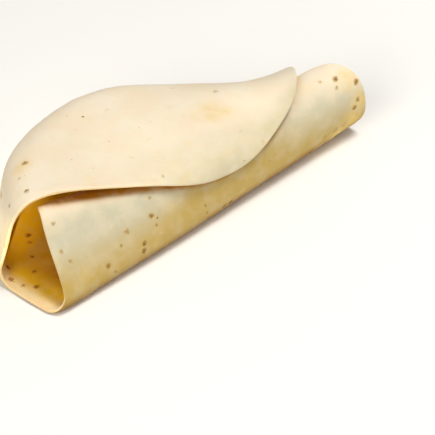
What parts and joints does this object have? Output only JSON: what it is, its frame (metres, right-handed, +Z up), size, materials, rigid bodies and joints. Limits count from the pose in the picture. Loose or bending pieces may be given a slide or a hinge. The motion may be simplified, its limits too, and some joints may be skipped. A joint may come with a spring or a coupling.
{
  "type": "flour tortilla",
  "caption": "Soft wheat tortilla folded over into a loose roll on its flat underside, narrow at the right, open wide at the left, its free flap on top, cream with toasted spots.",
  "frame": {"origin": "under the middle of the roll's outer box, on the surface that the roll lies on", "axes": "+X along the roll towards its narrow end, +Y to the back, away from the front fold, +Z up"},
  "size_m": [0.1998, 0.0918, 0.0502],
  "materials": {
    "dough": "matte, soft and slightly floury, with small toasted spots"
  },
  "bodies": {
    "root": {"tortilla": "dough"}
  },
  "joints": []
}
